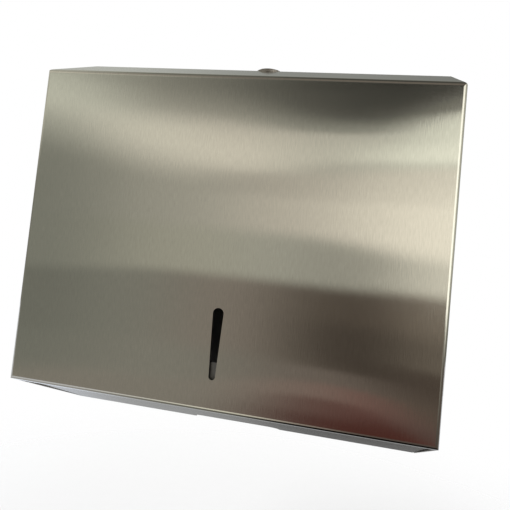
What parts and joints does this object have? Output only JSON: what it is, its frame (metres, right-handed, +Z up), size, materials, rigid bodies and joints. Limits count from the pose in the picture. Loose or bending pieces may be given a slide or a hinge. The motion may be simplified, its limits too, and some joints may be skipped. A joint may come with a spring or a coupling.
{
  "type": "folded paper towel dispenser",
  "caption": "Wall dispenser for folded paper towels: brushed steel cover with a flat front, tapered view slot and top lock, hinged to a wall housing with a slotted tray.",
  "frame": {"origin": "on the wall plane, at the centre of the four wall screw holes", "axes": "+X to the right as seen from the room, +Y into the wall, +Z up"},
  "size_m": [0.2842, 0.13, 0.2805],
  "materials": {
    "brushed_steel": "vertical hairline brush, satin",
    "mill_steel": "dull rolled sheet",
    "tray_steel": "hairline brush, satin",
    "rivet_steel": "smooth, turned",
    "lock_chrome": "plated, slightly worn",
    "plated_steel": "zinc plated, satin",
    "white_nylon": "smooth, matt",
    "black_rubber": "moulded, matt"
  },
  "bodies": {
    "housing": {"rear_housing": "mill_steel", "towel_tray": "tray_steel", "left_towel_guide": "mill_steel", "right_towel_guide": "mill_steel", "left_hinge_rivet": "rivet_steel", "right_hinge_rivet": "rivet_steel", "left_hinge_washer": "white_nylon", "right_hinge_washer": "white_nylon", "lock_catch": "mill_steel", "upper_catch_rivet": "rivet_steel", "lower_catch_rivet": "rivet_steel", "left_bumper": "black_rubber", "right_bumper": "black_rubber"},
    "cover": {"front_cover": "brushed_steel", "lock_barrel": "lock_chrome", "lock_washer": "plated_steel", "lock_nut": "plated_steel"},
    "lock": {"lock_plug": "lock_chrome", "lock_cam": "plated_steel", "cam_screw": "plated_steel"}
  },
  "joints": [
    {"name": "cover_hinge", "type": "hinge", "parent": "housing", "child": "cover", "pos_m": [0, -0.0215, -0.11875], "axis": [1, 0, 0], "range_deg": [0, 100]},
    {"name": "lock_turn", "type": "hinge", "parent": "cover", "child": "lock", "pos_m": [0.0042, -0.0645, 0.13875], "axis": [0, 0, -1], "range_deg": [0, 90]}
  ]
}
